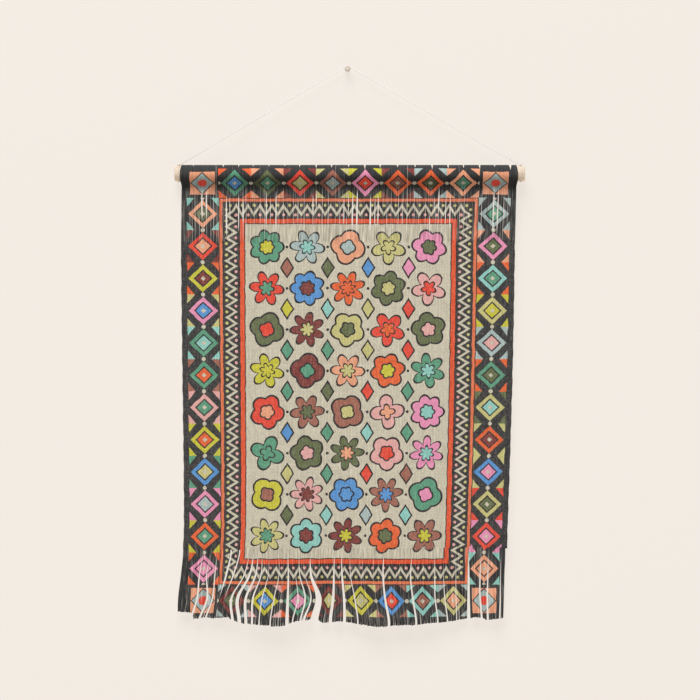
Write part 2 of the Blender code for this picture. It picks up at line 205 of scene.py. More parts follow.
# Fringe: strands hang in locks between the gaps, whose paths are given at four even heights
FRINGE_THREADS = 228
STRIP_TALL = 2.9  # from the weave's lower edge to where the gaps' table starts
FRINGE_REACH = 82.8
FRINGE_STEPS = 20
TIP_THICK = 1.0
TIP_JAG = 0.5
LOCK_CURL = 1.4
STRAY = 0.12  # how far single threads stray by the tips
SWING = 0.1  # how far they wave on the way
SWING_REACH = 9.0
SWING_PHASES = 6.28
MOST_SPREAD = 1.5  # of a thread whose lock widens, as a share
TIP_FRAY = 0.85
WIDENS = (0.1, 0.6, 0.85, 1.0)  # of a gap's full width, at the same four heights
WIDENS_LATE = (0.0, 0.3, 0.75, 1.0)
CLOSES = (0.7, 1.0, 0.3, 0.2)
Gap = namedtuple("Gap", "root upper lower tip open shares", defaults=(WIDENS,))
GAPS = [Gap(*row) for row in (
    (-196.2, -199, -202.4, -202.9, 0), (-171.8, -176.3, -179, -186.9, 2.8),
    (-163.5, -167.8, -167.2, -177.3, 2.3), (-155.2, -158, -161.1, -170.1, 2.2),
    (-138.1, -144.5, -152.8, -158.8, 2.8, CLOSES), (-128.1, -136.1, -146.3, -149.8, 2.4, CLOSES),
    (-117, -123.6, -138.7, -137.1, 3), (-112.2, -117.4, -131.7, -129.3, 4.8),
    (-106.9, -109.7, -121.6, -121.2, 3.6), (-101.5, -103.1, -112.8, -113.8, 2.4),
    (-93, -94.3, -101.5, -105, 1.4), (-82, -82.4, -88.4, -92.9, 1.2),
    (-70.6, -69.8, -70.1, -71.3, 3), (-62.5, -61.5, -58.7, -65.3, 2, WIDENS_LATE),
    (-57.9, -57, -50.5, -56.5, 2.6), (-51.8, -51, -43.9, -52.6, 2.6, WIDENS_LATE),
    (-44.5, -43.6, -34.4, -40, 9.6, WIDENS_LATE), (-16.2, -16.8, -17.6, -21.1, 3),
    (-7.8, -7, -4.7, -4.4, 3.6), (3, 3.6, 8.7, 12.5, 1.8), (44.2, 43.1, 45.4, 50.1, 3),
    (77, 74.9, 77.6, 81.8, 2.4), (104.5, 104.5, 104.7, 108.1, 1.8),
    (113.5, 113.8, 115.3, 118.8, 1.6, WIDENS_LATE), (129.9, 129.9, 130, 130.7, 1.2),
    (145.1, 145.1, 145.1, 145.3, 3.6), (159.6, 158.2, 158.2, 160.4, 2.4),
    (169, 168.4, 167.8, 168.2, 2.2), (183.6, 183.2, 182.8, 182.2, 1.6),
    (188.5, 187.5, 186.9, 186.3, 0),
)]
Tip = namedtuple("Tip", "across height")
TIPS = [Tip(*row) for row in (
    (-202, -649.2), (-189, -650.6), (-184, -657.7), (-170, -656), (-160, -657.5), (-142, -655.8),
    (-136, -660.2), (-126, -663), (-107, -664.4), (-86, -666.3), (-76, -665.8), (-62, -660.2),
    (-47, -658.5), (-36, -658.6), (-30, -663.2), (-10, -660.9), (0, -661.8), (34, -666.9),
    (70, -664.4), (79, -665), (96, -662.2), (116, -661.7), (138, -658.3), (152, -656.2),
    (162, -657.2), (166, -659), (186, -657.2),
)]

# Print: frames round a field of rosettes. Places are measured on the flat cloth from its middle
PRINT_HALF_WIDE = 199.0
PRINT_HALF_TALL = 276.0
PRINT_MIDDLE = -386.0
PRINT_FOLLOWS = 0.8  # share of a loose thread's drift that the print doesn't make
RAGGED = 0.9  # how far the print's outlines wander
WRAP_PRINT = ROOT_HEIGHT - PRINT_MIDDLE  # where the print reaches the rod
# Where each line or band ends, inwards from the print's edge
FIELD_LINES = ((76.6, "outline"), (75.4, "vermilion"), (70.2, "outline"))
ZIGZAG_END = 69.0
MIDDLE_LINES = ((50.5, "outline"), (49.5, "coral"), (46.0, "outline"))
LOZENGES_END = 45.0
MARGIN_END = 7.0
INKS = {
    "charcoal": "#333334", "outline": "#2b272a", "cream": "#c6bfab", "coral": "#d9734d",
    "vermilion": "#dc5530", "red": "#dc4836", "orange": "#dd6233", "pink": "#e08fb1",
    "rose": "#dba5a0", "olive": "#626b48", "lime": "#c4be3c", "straw": "#c2bc7c",
    "salmon": "#e19e7c", "green": "#5a977a", "blue": "#5590cb", "mist": "#a5b6b4",
    "maroon": "#7d3a35", "brown": "#9c6454", "teal": "#8cc5bb",
}
FIRST_MOTIF_INK = 5
COTTON = "#ebe3d6"

# Printed cotton. spares: how much less ink some threads took. run: how short the fibres' marks are
# along the warp, as a share of how short they are across it. ribbed and grain: how much the tone
# differs from thread to thread and from fibre to fibre
Cotton = namedtuple("Cotton", "spares run ribbed grain")
LOOSE_COTTON = Cotton(spares=0.13, run=0.13, ribbed=1.6, grain=0.3)
WOVEN_COTTON = Cotton(spares=0.12, run=1.0, ribbed=0.5, grain=0.5)
FIBRE_SCALE = 1.1
RIB_SCALES = (0.6, 0.035)  # across and along the warp
CLOUD_SCALES = (0.03, 0.05)
CLOUDED = 0.10
WRAP_WEAR = 0.1  # how worn the print is on the rod, as a share of the loose warp

# Wood and cord: light and dark colours, and how fine the wood's grain is
DOWEL_WOOD = ("#e8d8c5", "#ccb193")
PEG_WOOD = ("#dfd6ca", "#cfc4b7")
PORES = "#9a7551"
GRAIN_ACROSS = 260.0
GRAIN_ALONG = 9.0
PORES_FINER = 4
CORD_COTTON = ("#f1eee9", "#e3dfd9")
TIE_COTTON = ("#ece1d3", "#d8c8b3")
LINT_SCALE = 900.0

# Stage. Its lamps are in metres and watts
WALL = "#f2ebe3"
WALL_GLOW = 0.78  # share of its light that is its own
WALL_BEHIND = 0.6
FLOOR_HEIGHT = -950.0
FLOOR_FRONT = -4000.0
STAGE_REACH = 3000.0
LAMPS = (  # name, power, size and place
    ("soft_light", 375.0, 3.2, (-0.7, -3.1, 4.6)),
    ("rear_light", 90.0, 2.6, (0.6, 3.6, 1.4)),
)
LAMPS_AIM = (0.0, 0.0, -0.35)
SKY_STRENGTH = 0.26

# View: the width that the picture takes in at the cloth, and its middle
VIEW_WIDTH = 835.8
VIEW_MIDDLE = (3.0, -336.7)
CAMERA_AWAY = 3200.0
SENSOR = 36.0
VIEW_END = 50.0  # metres

# Places of a Mix node's inputs for numbers and for colours
MIX_NUMBERS = (2, 3)
MIX_COLOURS = (6, 7)

# One step along a thread. place: on the print. bare: how unprinted. dim: how much painted shade,
# with painted light below 0
Ring = namedtuple("Ring", "point wide thick place bare dim")


def colour(text):
    """A linear colour from a written one."""
    parts = [int(text[k:k + 2], 16) / 255 for k in (1, 3, 5)]
    return tuple(p / 12.92 if p <= 0.04045 else ((p + 0.055) / 1.055) ** 2.4 for p in parts)


def mix(a, b, share):
    return a + (b - a) * share


def along(rows, column, at):
    """Reads a table's column between its rows, whose first column says where they are."""
    return float(np.interp(at, [row[0] for row in rows], [getattr(row, column) for row in rows]))


def smoothed(values, share):
    """A smooth curve through evenly spaced values, read at a share from 0 to 1."""
    spans = len(values) - 1
    place = min(max(share, 0.0), 1.0) * spans
    k = min(int(place), spans - 1)
    t = place - k
    before = values[max(k - 1, 0)]
    after = values[min(k + 2, spans)]
    a, b = values[k], values[k + 1]
    slope_a, slope_b = (b - before) / 2, (after - a) / 2
    return (
        a * (2 * t**3 - 3 * t**2 + 1)
        + slope_a * (t**3 - 2 * t**2 + t)
        + b * (3 * t**2 - 2 * t**3)
        + slope_b * (t**3 - t**2)
    )


def ease(share):
    """A share from 0 to 1 that starts and ends slowly."""
    share = min(max(share, 0.0), 1.0)
    return share * share * (3 - 2 * share)


class Field:
    """A number that varies over a surface. Arithmetic on fields adds Math nodes to their tree."""

    def __init__(self, tree, socket):
        self.tree, self.socket = tree, socket

    def math(self, operation, *others):
        node = self.tree.nodes.new("ShaderNodeMath")
        node.operation = operation
        for k, value in enumerate((self, *others)):
            plug(self.tree, node.inputs[k], value)
        return Field(self.tree, node.outputs[0])

    def clamped(self, low=0.0, high=1.0):
        return self.math("MINIMUM", high).math("MAXIMUM", low)

    def __rsub__(self, other):
        return self * -1.0 + other

    __add__ = partialmethod(math, "ADD")
    __sub__ = partialmethod(math, "SUBTRACT")
    __mul__ = partialmethod(math, "MULTIPLY")
    __truediv__ = partialmethod(math, "DIVIDE")
    __lt__ = partialmethod(math, "LESS_THAN")
    __gt__ = partialmethod(math, "GREATER_THAN")
    __abs__ = partialmethod(math, "ABSOLUTE")


def plug(tree, socket, value):
    """Links a field, or another node's socket, or sets a plain value."""
    if isinstance(value, Field):
        tree.links.new(value.socket, socket)
    elif isinstance(value, bpy.types.NodeSocket):
        tree.links.new(value, socket)
    else:
        socket.default_value = value


def choose(mask, yes, no):
    """yes where the mask is 1, and no where it is 0."""
    node = mask.tree.nodes.new("ShaderNodeMix")
    plug(mask.tree, node.inputs[0], mask)
    for k, value in zip(MIX_NUMBERS, (no, yes)):
        plug(mask.tree, node.inputs[k], value)
    return Field(mask.tree, node.outputs[0])


def length(a, b):
    return (a * a + b * b).math("SQRT")


def combine(tree, *values):
    node = tree.nodes.new("ShaderNodeCombineXYZ")
    for k, value in enumerate(values):
        plug(tree, node.inputs[k], value)
    return node.outputs[0]


def separate(tree, vector):
    node = tree.nodes.new("ShaderNodeSeparateXYZ")
    tree.links.new(vector, node.inputs[0])
    return [Field(tree, socket) for socket in node.outputs]


def chances(tree, vector):
    """Three even random numbers for each whole-numbered place."""
    node = tree.nodes.new("ShaderNodeTexWhiteNoise")
    node.noise_dimensions = "3D"
    tree.links.new(vector, node.inputs["Vector"])
    return separate(tree, node.outputs["Color"])


def noise(tree, vector, scale=1.0, detail=2.0, rough=0.5):
    """A texture of soft random numbers round 0.5."""
    node = tree.nodes.new("ShaderNodeTexNoise")
    tree.links.new(vector, node.inputs["Vector"])
    node.inputs["Scale"].default_value = scale
    node.inputs["Detail"].default_value = detail
    node.inputs["Roughness"].default_value = rough
    return node


def soft(tree, vector, scale=1.0, detail=2.0, rough=0.5):
    """One soft random number round 0.5."""
    return Field(tree, noise(tree, vector, scale, detail, rough).outputs[0])


def mix_colours(tree, share, first, second):
    """The first colour where the share is 0, and the second where it is 1."""
    node = tree.nodes.new("ShaderNodeMix")
    node.data_type = "RGBA"
    plug(tree, node.inputs[0], share)
    for k, value in zip(MIX_COLOURS, (first, second)):
        plug(tree, node.inputs[k], (*value, 1.0) if isinstance(value, tuple) else value)
    return node.outputs[2]


def new_material(name, roughness, sheen=0.0):
    """A material with a Principled shader, its tree and that shader."""
    made = bpy.data.materials.new(name)
    made.use_nodes = True
    tree = made.node_tree
    shader = tree.nodes["Principled BSDF"]
    shader.inputs["Roughness"].default_value = roughness
    shader.inputs["Sheen Weight"].default_value = sheen
    shader.inputs["Specular IOR Level"].default_value = 0.25
    return made, tree, shader


def bump(tree, shader, height, strength, distance):
    node = tree.nodes.new("ShaderNodeBump")
    node.inputs["Strength"].default_value = strength
    node.inputs["Distance"].default_value = distance
    plug(tree, node.inputs["Height"], height)
    tree.links.new(node.outputs["Normal"], shader.inputs["Normal"])


def ink(name):
    """The place of an ink in the colour ramp."""
    return (list(INKS).index(name) + 0.5) / len(INKS)


def any_ink(chance):
    """One of the inks for motifs, by chance."""
    count = len(INKS) - FIRST_MOTIF_INK
    return ((chance * count).math("FLOOR") + (FIRST_MOTIF_INK + 0.5)) / len(INKS)


def lozenge_band(u, v, du, dv, inwards, level):
    """Lozenges side by side, small triangles and dots between them, and a tile in each corner."""
    pitch, middle, half = 38.5, 26.0, 19.0
    lozenge_wide, lozenge_tall, dot = 16.5, 17.5, 2.4
    triangle_wide, triangle_tall = 10.5, 9.0
    tile_half, tile_line, tile_round = 15.0, 13.4, 5.4
    tree = u.tree
    s = choose(level, u, v)
    cell = (s / pitch).math("FLOOR")
    f = abs((s / pitch).math("FRACT") - 0.5) * pitch
    t = abs(inwards - middle)
    side = choose(level, v > 0.0, u > 0.0)
    first, second, third = chances(tree, combine(tree, cell, level, side))
    reach = f / lozenge_wide + t / lozenge_tall
    found = choose(reach < 1.0, any_ink(first), ink("charcoal"))
    for share, shown in ((0.66, ink("outline")), (0.53, any_ink(second)), (0.17, ink("cream"))):
        found = choose(reach < share, shown, found)
    apart = pitch / 2 - f
    triangle = apart / triangle_wide + (half - t) / triangle_tall
    found = choose(triangle < 1.0, any_ink(third), found)
    found = choose(length(apart, t) < dot, ink("cream"), found)
    a, b = abs(du - middle), abs(dv - middle)
    tile = choose(a.math("MAXIMUM", b) < tile_half, ink("salmon"), ink("charcoal"))
    tile = choose(a + b < tile_half, ink("outline"), tile)
    tile = choose(a + b < tile_line, ink("mist"), tile)
    tile = choose(length(a, b) < tile_round, ink("red"), tile)
    return choose(du.math("MAXIMUM", dv) < middle + half, tile, found)


def zigzag_band(u, v, inwards, level):
    """A cream zigzag with small dots in its hollows."""
    middle, rise, half = 59.75, 5.4, 2.5
    pitch_along_u, pitch_along_v, dot, dot_away = 14.0, 13.56, 1.8, 5.6
    phase = choose(level, u / pitch_along_u, v / pitch_along_v)
    across = abs(phase.math("FRACT") - 0.5)
    line = abs(inwards - middle - (across * 4.0 - 1.0) * rise)
    found = choose(line < half, ink("cream"), ink("charcoal"))
    inner = length(across * pitch_along_u, inwards - (middle + dot_away))
    found = choose(inner < dot, ink("rose"), found)
    outer = length((0.5 - across) * pitch_along_u, inwards - (middle - dot_away))
    return choose(outer < dot, ink("straw"), found)


def rosette_field(u, v):
    """Rosettes in even rows on a cream ground, with a leaf where four of them meet."""
    wide, tall, radius = 48.4, 49.2, 20.5
    line, core_line, core_share, dot = 1.2, 1.0, 0.44, 1.7
    leaf_wide, leaf_tall, leaf_outer, leaf_inner = 7.4, 11.5, 1.17, 0.87
    tree = u.tree
    column, row = u / wide + 0.5, v / tall
    whole_column, whole_row = column.math("FLOOR"), row.math("FLOOR")
    f = (column.math("FRACT") - 0.5) * wide
    g = (row.math("FRACT") - 0.5) * tall
    first, second, third = chances(tree, combine(tree, whole_column, whole_row, 3.0))
    petals = (third * 3.99).math("FLOOR") * 0.5 + 2.0
    turn = (g.math("ARCTAN2", f) + first * 6.0) * petals
    odd = ((whole_column + whole_row) * 0.5).math("FRACT") > 0.25
    depth = choose(odd, 0.24, 0.5)
    rim = (abs(turn.math("COSINE")) * depth + (1.0 - depth)) * radius
    core = rim * core_share
    r = length(f, g)
    found = choose(r - rim < line, ink("outline"), ink("cream"))
    found = choose(r - rim < -line, any_ink(first), found)
    found = choose(r - core < core_line, ink("outline"), found)
    found = choose(r - core < -core_line, any_ink(second), found)
    a, b = wide / 2 - abs(f), tall / 2 - abs(g)
    inside = abs(u) < 2.1 * wide
    found = choose((length(a, g) < dot) * inside, ink("outline"), found)
    corner = combine(tree, (column + 0.5).math("FLOOR"), (row + 0.5).math("FLOOR"), 8.0)
    leaf = a / leaf_wide + b / leaf_tall
    clear = inside * (abs(v) < 3.5 * tall)
    found = choose((leaf < leaf_outer) * clear, ink("outline"), found)
    return choose((leaf < leaf_inner) * clear, any_ink(chances(tree, corner)[0]), found)


def ink_colour(tree, place):
    """The colour of an ink from its place in the ramp."""
    ramp = tree.nodes.new("ShaderNodeValToRGB")
    ramp.color_ramp.interpolation = "CONSTANT"
    stops = ramp.color_ramp.elements
    stops.remove(stops[1])
    for k, text in enumerate(INKS.values()):
        stop = stops[0] if k == 0 else stops.new(k / len(INKS))
        stop.position = k / len(INKS)
        stop.color = (*colour(text), 1.0)
    plug(tree, ramp.inputs[0], place)
    return ramp.outputs[0]


def print_colour(tree):
    """The print's colour, the place on the cloth, and how bare the thread is there."""
    place = tree.nodes.new("ShaderNodeAttribute")
    place.attribute_name = "print_place"
    wobble = separate(tree, noise(tree, place.outputs["Vector"], 0.11).outputs["Color"])
    raw_u, raw_v, pale = separate(tree, place.outputs["Vector"])
    u = raw_u + (wobble[0] - 0.5) * (2 * RAGGED)
    v = raw_v + (wobble[1] - 0.5) * (2 * RAGGED)
    du, dv = PRINT_HALF_WIDE - abs(u), PRINT_HALF_TALL - abs(v)
    inwards = du.math("MINIMUM", dv)
    level = dv < du
    found = rosette_field(u, v)
    for limit, name in FIELD_LINES:
        found = choose(inwards < limit, ink(name), found)
    found = choose(inwards < ZIGZAG_END, zigzag_band(u, v, inwards, level), found)
    for limit, name in MIDDLE_LINES:
        found = choose(inwards < limit, ink(name), found)
    found = choose(inwards < LOZENGES_END, lozenge_band(u, v, du, dv, inwards, level), found)
    found = choose(inwards < MARGIN_END, ink("charcoal"), found)
    return ink_colour(tree, found), raw_u, raw_v, pale


def plain_weave(tree, u, v):
    """How high the threads stand, up to 1 on a crossing, and a chance for each crossing."""
    slope = (TOP_RIGHT - TOP_LEFT) / (2 * PRINT_HALF_WIDE)
    top = (TOP_LEFT + TOP_RIGHT) / 2
    bottom = (BOTTOM_LEFT + BOTTOM_RIGHT) / 2
    column_wide = 2 * PRINT_HALF_WIDE / PANEL_COLUMNS
    row_tall = (top - bottom) / PANEL_ROWS
    across = (u + PRINT_HALF_WIDE) / column_wide + 0.5
    down = (u * slope - v + (top - PRINT_MIDDLE)) / row_tall + 0.5
    warp = ((across.math("FRACT") - 0.5) * math.pi).math("COSINE")
    weft = ((down.math("FRACT") - 0.5) * math.pi).math("COSINE")
    column, row = across.math("FLOOR"), down.math("FLOOR")
    weft_up = ((column + row) * 0.5).math("FRACT") > 0.25
    height = choose(weft_up, weft * (warp * 0.3 + 0.7), warp * (weft * 0.3 + 0.7))
    return height, chances(tree, combine(tree, column, row, 5.0))[0]


def printed_material(name, cotton, woven=False):
    """Printed cotton. Some threads took less ink, most where they hang free. Bare sides are pale.

    Woven cloth shows its crossings, with less ink and painted shade between the threads.
    """
    made, tree, shader = new_material(name, 0.92, sheen=0.12)
    base, u, v, pale = print_colour(tree)
    fibre_at = combine(tree, u * FIBRE_SCALE, v * (FIBRE_SCALE * cotton.run), 0.0)
    fibre = soft(tree, fibre_at, detail=3.0, rough=0.6)
    rib = soft(tree, combine(tree, u * RIB_SCALES[0], v * RIB_SCALES[1], 4.0), rough=0.7)
    cloud = soft(tree, combine(tree, u * CLOUD_SCALES[0], v * CLOUD_SCALES[1], 2.0))
    free = ((WRAP_PRINT - v) * 0.1).clamped(low=WRAP_WEAR)
    spared = (rib - 0.5) * 6.0
    relief = fibre
    tone = ((rib - 0.5) * cotton.ribbed + (fibre - 0.5) * cotton.grain) * (free * 0.75 + 0.25)
    tone = tone + (cloud - 0.5) * CLOUDED + 1.0
    if woven:
        height, chance = plain_weave(tree, u, v)
        spared = spared * 0.5 + (0.5 - height) * 3.0 + (chance - 0.5) * CROSSING_SPARES
        relief = height + fibre * 0.5
        # painted shade: the grooves between the threads are darker, and each crossing differs a
        # little in tone at random
        tone = tone + (height - 0.65) * 0.3 + (chance - 0.5) * CROSSING_TONES
    worn = mix_colours(tree, spared.clamped() * free * cotton.spares, base, colour(COTTON))
    edge = (pale + (fibre - 0.5) * 0.4) * (pale > 0.02)
    mixed = mix_colours(tree, edge.clamped(), worn, colour(COTTON))
    parts = tree.nodes.new("ShaderNodeSeparateColor")
    parts.mode = "HSV"
    tree.links.new(mixed, parts.inputs[0])
    # painted shade and painted light on the loose warp, and the tone of the woven cloth's crossings
    # and threads
    shade = tree.nodes.new("ShaderNodeAttribute")
    shade.attribute_name = "painted_shade_and_tone"
    keeps = 1.0 - Field(tree, parts.outputs[2]) * PALE_KEEPS
    tint = tree.nodes.new("ShaderNodeHueSaturation")
    plug(tree, tint.inputs["Value"], tone + Field(tree, shade.outputs["Fac"]) * keeps)
    plug(tree, tint.inputs["Color"], mixed)
    tree.links.new(tint.outputs[0], shader.inputs["Base Color"])
    bump(tree, shader, relief, 0.5, 0.0003)
    return made


def wood_material(name, grain_axis, light, dark):
    """Pale wood with fine grain along one axis of the object, and dark pores."""
    made, tree, shader = new_material(name, 0.55)
    spot = separate(tree, tree.nodes.new("ShaderNodeTexCoord").outputs["Object"])
    stretch = [GRAIN_ACROSS] * 3
    stretch[grain_axis] = GRAIN_ALONG
    grain_at = combine(tree, *(spot[k] * stretch[k] for k in range(3)))
    pores_at = combine(tree, *(spot[k] * (stretch[k] * PORES_FINER) for k in range(3)))
    grain = soft(tree, grain_at, 1.0, 4.0, 0.6)
    broad = soft(tree, grain_at, 0.22)
    pores = soft(tree, pores_at, detail=1.0)
    share = (grain - 0.5) * 1.5 + (broad - 0.5) * 1.2 + 0.4
    base = mix_colours(tree, share.clamped(), colour(light), colour(dark))
    shown = mix_colours(tree, (pores > 0.66) * 0.25, base, colour(PORES))
    tree.links.new(shown, shader.inputs["Base Color"])
    bump(tree, shader, grain + pores * 0.5, 0.35, 0.0002)
    return made


def cord_material(name, light, dark):
    """Cotton cord with fine lint."""
    made, tree, shader = new_material(name, 0.9, sheen=0.1)
    spot = tree.nodes.new("ShaderNodeTexCoord").outputs["Object"]
    lint = soft(tree, spot, LINT_SCALE, 3.0, 0.6)
    shown = mix_colours(tree, lint * 0.8, colour(light), colour(dark))
    tree.links.new(shown, shader.inputs["Base Color"])
    bump(tree, shader, lint, 0.4, 0.0001)
    return made


def wall_material():
    """A plain pale surface that only shows from its front. Part of its light is its own."""
    made, tree, shader = new_material("pale_wall", 0.95)
    tint = colour(WALL)
    shader.inputs["Base Color"].default_value = (*(part * (1 - WALL_GLOW) for part in tint), 1.0)
    shader.inputs["Specular IOR Level"].default_value = 0.0
    shader.inputs["Emission Color"].default_value = (*tint, 1.0)
    shader.inputs["Emission Strength"].default_value = WALL_GLOW
    clear = tree.nodes.new("ShaderNodeBsdfTransparent")
    side = tree.nodes.new("ShaderNodeNewGeometry").outputs["Backfacing"]
    both = tree.nodes.new("ShaderNodeMixShader")
    tree.links.new(side, both.inputs[0])
    tree.links.new(shader.outputs[0], both.inputs[1])
    tree.links.new(clear.outputs[0], both.inputs[2])
    tree.links.new(both.outputs[0], tree.nodes["Material Output"].inputs["Surface"])
    return made


def add_object(name, data):
    obj = bpy.data.objects.new(name, data)
    bpy.context.scene.collection.objects.link(obj)
    return obj


def add_mesh(name, points, faces, material, places=None, shades=None):
    """Makes an object of points in millimetres.

    places holds the print's place at each point, and shades the painted shade and painted light on
    the loose warp and the tone of the woven cloth's crossings and threads.
    """
    mesh = bpy.data.meshes.new(name)
    mesh.from_pydata((np.asarray(points) * METRES).tolist(), [], faces)
    if places is not None:
        layer = mesh.attributes.new("print_place", "FLOAT_VECTOR", "POINT")
        layer.data.foreach_set("vector", np.asarray(places, dtype=np.float32).ravel())
    if shades is not None:
        layer = mesh.attributes.new("painted_shade_and_tone", "FLOAT", "POINT")
        layer.data.foreach_set("value", shades)
    mesh.materials.append(material)
    mesh.shade_smooth()
    return add_object(name, mesh)


def grid_faces(columns, rows, start=0, flip=False):
    """Quads between rows of points that lie one row after another."""
    faces = []
    for row in range(rows - 1):
        for column in range(columns - 1):
            a = start + row * columns + column
            face = (a, a + 1, a + columns + 1, a + columns)
            faces.append(face[::-1] if flip else face)
    return faces


def ring_quads(first, count, flip=False):
    """Quads from one ring of points to the next."""
    faces = []
    for k in range(count):
        after = (k + 1) % count
        face = (first + k, first + after, first + count + after, first + count + k)
        faces.append(face[::-1] if flip else face)
    return faces


def tube_faces(start, rings, sides):
    """The faces of a tube of rings, with both ends closed."""
    faces = []
    for k in range(rings - 1):
        faces += ring_quads(start + k * sides, sides)
    end = start + (rings - 1) * sides
    faces.append([start + m for m in range(sides)][::-1])
    faces.append([end + m for m in range(sides)])
    return faces


def rim_faces(columns, rows):
    """Quads that join the borders of two grids of points, of which the second follows the first."""
    back = columns * rows
    faces = []
    for n in range(columns - 1):
        low = (rows - 1) * columns + n
        faces.append((n, n + 1, back + n + 1, back + n))
        faces.append((low, back + low, back + low + 1, low + 1))
    for n in range(rows - 1):
        a, b = n * columns, (n + 1) * columns
        c, d = a + columns - 1, b + columns - 1
        faces.append((a, back + a, back + b, b))
        faces.append((c, d, back + d, back + c))
    return faces


def stand_for(obj, node):
    """Attaches a piece to the body and hides the frame's node that it replaces."""
    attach(obj, BODY)
    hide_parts(node)


def directions(path):
    """The direction of a path at each of its points."""
    ahead = np.gradient(path, axis=0)
    return ahead / np.linalg.norm(ahead, axis=1)[:, None]


def distances(path):
    """How far along a path each of its points is."""
    return np.concatenate([[0.0], np.cumsum(np.linalg.norm(np.diff(path, axis=0), axis=1))])


class Threads:
    """Tubes of thread that become one mesh."""

    def __init__(self):
        self.points, self.places, self.shades, self.faces = [], [], [], []

    def add(self, rings, turn):
        """A thread whose rings run upwards on the front, so that its front side faces outwards.

        turn is how far its printed side turns away from the front.
        """
        path = np.array([ring.point for ring in rings])
        ahead = directions(path)
        side = np.array([1.0, 0.0, 0.0]) - ahead * ahead[:, :1]
        side /= np.linalg.norm(side, axis=1)[:, None]
        front = np.cross(side, ahead)
        self.faces += tube_faces(len(self.points), len(rings), THREAD_SIDES)
        for k, ring in enumerate(rings):
            flat, height = ring.place
            for m in range(THREAD_SIDES):
                angle = math.tau * m / THREAD_SIDES
                offset = front[k] * (math.cos(angle) * ring.thick / 2)
                offset = offset + side[k] * (math.sin(angle) * ring.wide / 2)
                away = abs(math.remainder(angle - turn, math.tau))
                bare = ease((away - PALE_FROM) / (PALE_TO - PALE_FROM))
                aside = 1 - max(math.cos(angle), 0.0) ** 0.5
                self.points.append(path[k] + offset)
                # painted shade on the thread's sides and under the rod, and painted light on top of
                # the rod
                self.shades.append(-SIDE_SHADE * aside - DIM_SHADE * ring.dim)
                self.places.append((flat + offset[0], height, max(bare, ring.bare)))

    def make(self, name, node, material):
        """Makes the threads' mesh, which replaces a node of the frame."""
        piece = add_mesh(name, self.points, self.faces, material, self.places, self.shades)
        stand_for(piece, node)
        return piece


def cloth_depth(across, height):
    """Where the middle of the cloth lies: plumb under the rod, with folds that grow downwards."""
    down = (TOP_LEFT - height) / (TOP_LEFT - BOTTOM_LEFT)
    growth = max(down, 0.0) ** FOLD_GROWTH
    forward = sum(
        fold.forward * math.exp(-(((across - fold.centre) / fold.spread) ** 2))
        for fold in FOLDS
    )
    return AXIS_DEPTH - growth * forward


def crease_depth(across, height):
    """How far soft creases press the cloth back."""
    total = 0.0
    for crease in CREASES:
        inside = min(across - crease.left, crease.right - across)
        away = (height - crease.height - crease.slope * across) / crease.spread
        total += crease.deep * ease(inside / CREASE_FADE) * math.exp(-away * away)
    return total


def twisted_tube(path):
    """The points and faces of a cord of plies, laid round a path."""
    ahead = directions(path)
    run = distances(path)
    side = np.cross(ahead[0], (0.0, 1.0, 0.0))
    points = []
    for k, point in enumerate(path):
        side = side - ahead[k] * np.dot(side, ahead[k])
        side = side / np.linalg.norm(side)
        other = np.cross(ahead[k], side)
        for m in range(CORD_SIDES):
            angle = math.tau * m / CORD_SIDES
            ply = abs(math.sin(CORD_PLIES * (angle - math.tau * run[k] / CORD_TWIST) / 2))
            radius = CORD_RADIUS * (1 - CORD_GROOVE * (1 - ply))
            points.append(point + radius * (math.cos(angle) * side + math.sin(angle) * other))
    return points, tube_faces(0, len(path), CORD_SIDES)


def cord_path():
    """The cord's centreline, with its points an even distance apart."""
    shares = np.linspace(0, 1, CORD_PATH_POINTS)
    path = np.array(
        [[smoothed([p[axis] for p in CORD_ROUTE], s) for axis in range(3)] for s in shares]
    )
    run = distances(path)
    even = np.linspace(0, run[-1], CORD_PATH_POINTS)
    return np.stack([np.interp(even, run, path[:, axis]) for axis in range(3)], axis=1)


def make_cord(material):
    """The hanging cord, and its path."""
    path = cord_path()
    points, faces = twisted_tube(path)
    cord = add_mesh("hanging_cord", points, faces, material)
    stand_for(cord, "cord")
    return cord, path


def make_tie(name, node, across, heading, material):
    """Two turns of cord round the rod and a knot on top. heading is 1 or -1, towards the peg."""
    radius = DOWEL_RADIUS + CORD_RADIUS + TIE_CLEAR
    turns = []
    for share in np.linspace(0, 1, TIE_POINTS):
        turn = math.pi / 2 + TIE_TURNS * math.tau * share
        x = across + heading * (share - 0.5) * TIE_TURNS * TIE_PITCH
        y, z = AXIS_DEPTH + radius * math.cos(turn), AXIS_HEIGHT + radius * math.sin(turn)
        turns.append((x, y, z))
    knot = []
    top = AXIS_HEIGHT + radius + KNOT_LIFT
    for share in np.linspace(0, 1, KNOT_POINTS):
        t = math.tau * KNOT_SWEEP * share
        x = across + KNOT_SIZE * (math.sin(t) + 2 * math.sin(2 * t))
        y = AXIS_DEPTH + KNOT_SIZE * (math.cos(t) - 2 * math.cos(2 * t))
        knot.append((x, y, top - KNOT_SIZE * math.sin(3 * t)))
    points, faces = twisted_tube(np.array(turns))
    more, more_faces = twisted_tube(np.array(knot))
    faces += [[len(points) + corner for corner in face] for face in more_faces]
    tie = add_mesh(name, points + more, faces, material)
    stand_for(tie, node)
    return tie


